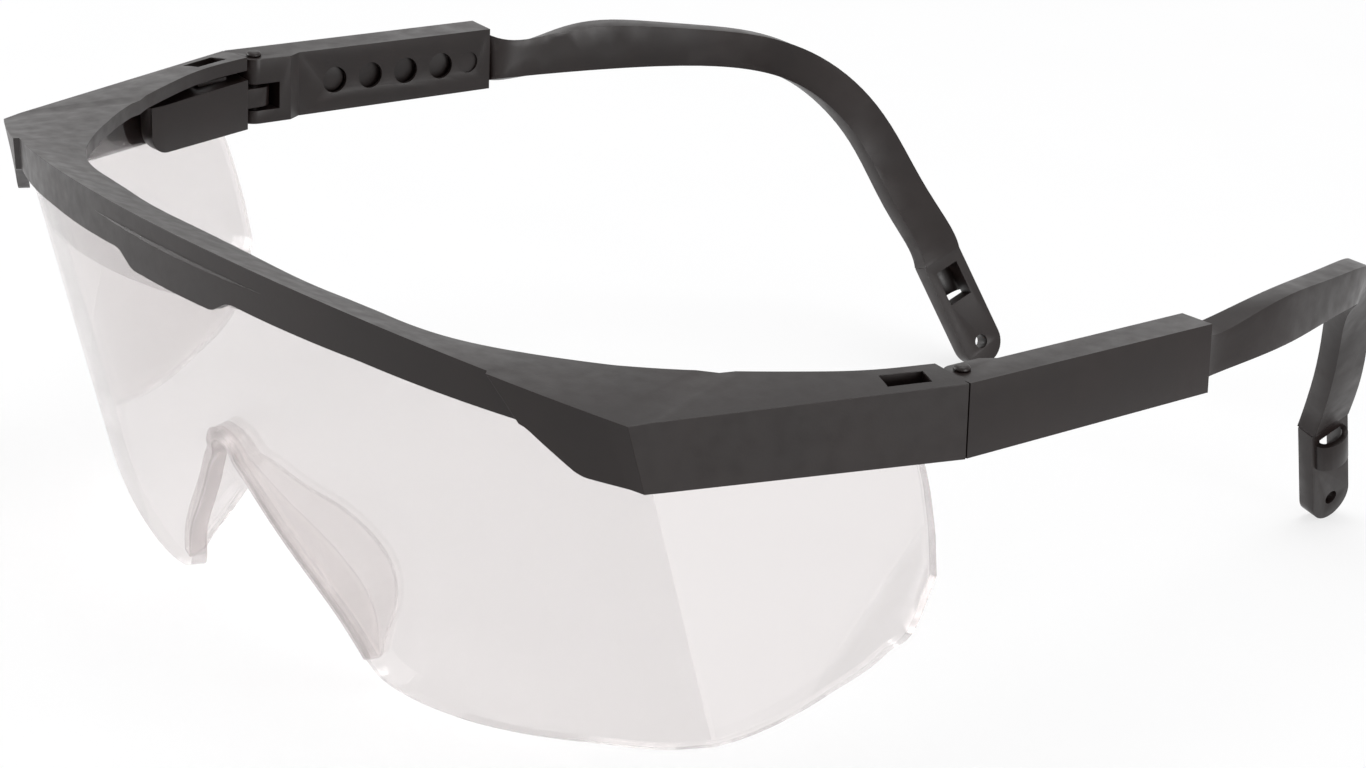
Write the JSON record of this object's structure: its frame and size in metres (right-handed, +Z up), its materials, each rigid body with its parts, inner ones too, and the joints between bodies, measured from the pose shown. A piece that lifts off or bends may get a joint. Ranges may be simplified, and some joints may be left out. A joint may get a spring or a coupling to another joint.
{
  "type": "safety glasses",
  "caption": "Wrap-round clear safety glasses: black brow frame, one-piece lens with side shields and nose rim, and folding temples that extend through slotted sleeves.",
  "frame": {"origin": "middle of the footprint on the surface the glasses stand on, lens edge and temple tips down", "axes": "+Z up, -Y the way the wearer looks, +X the wearer's left"},
  "size_m": [0.1636, 0.1616, 0.0551],
  "materials": {
    "clear_lens": "clear polycarbonate, polished",
    "black_nylon": "moulded black nylon, fine satin"
  },
  "bodies": {
    "front": {"brow_frame": "black_nylon", "lens": "clear_lens", "hinge_block_left": "black_nylon", "hinge_block_right": "black_nylon", "hinge_pin_left": "black_nylon", "hinge_pin_right": "black_nylon"},
    "left_sleeve": {"temple_sleeve_left": "black_nylon"},
    "right_sleeve": {"temple_sleeve_right": "black_nylon"},
    "left_arm": {"temple_arm_left": "black_nylon"},
    "right_arm": {"temple_arm_right": "black_nylon"}
  },
  "joints": [
    {"name": "left_fold", "type": "hinge", "parent": "front", "child": "left_sleeve", "pos_m": [0.0775, -0.02, 0.045], "axis": [0, 0, 1], "range_deg": [0, 80]},
    {"name": "right_fold", "type": "hinge", "parent": "front", "child": "right_sleeve", "pos_m": [-0.0775, -0.02, 0.045], "axis": [0, 0, -1], "range_deg": [0, 66]},
    {"name": "left_slide", "type": "slide", "parent": "left_sleeve", "child": "left_arm", "axis": [-0.0724, 0.9974, 0], "range_m": [0, 0.01674]},
    {"name": "right_slide", "type": "slide", "parent": "right_sleeve", "child": "right_arm", "axis": [0.0724, 0.9974, 0], "range_m": [0, 0.01674]}
  ]
}
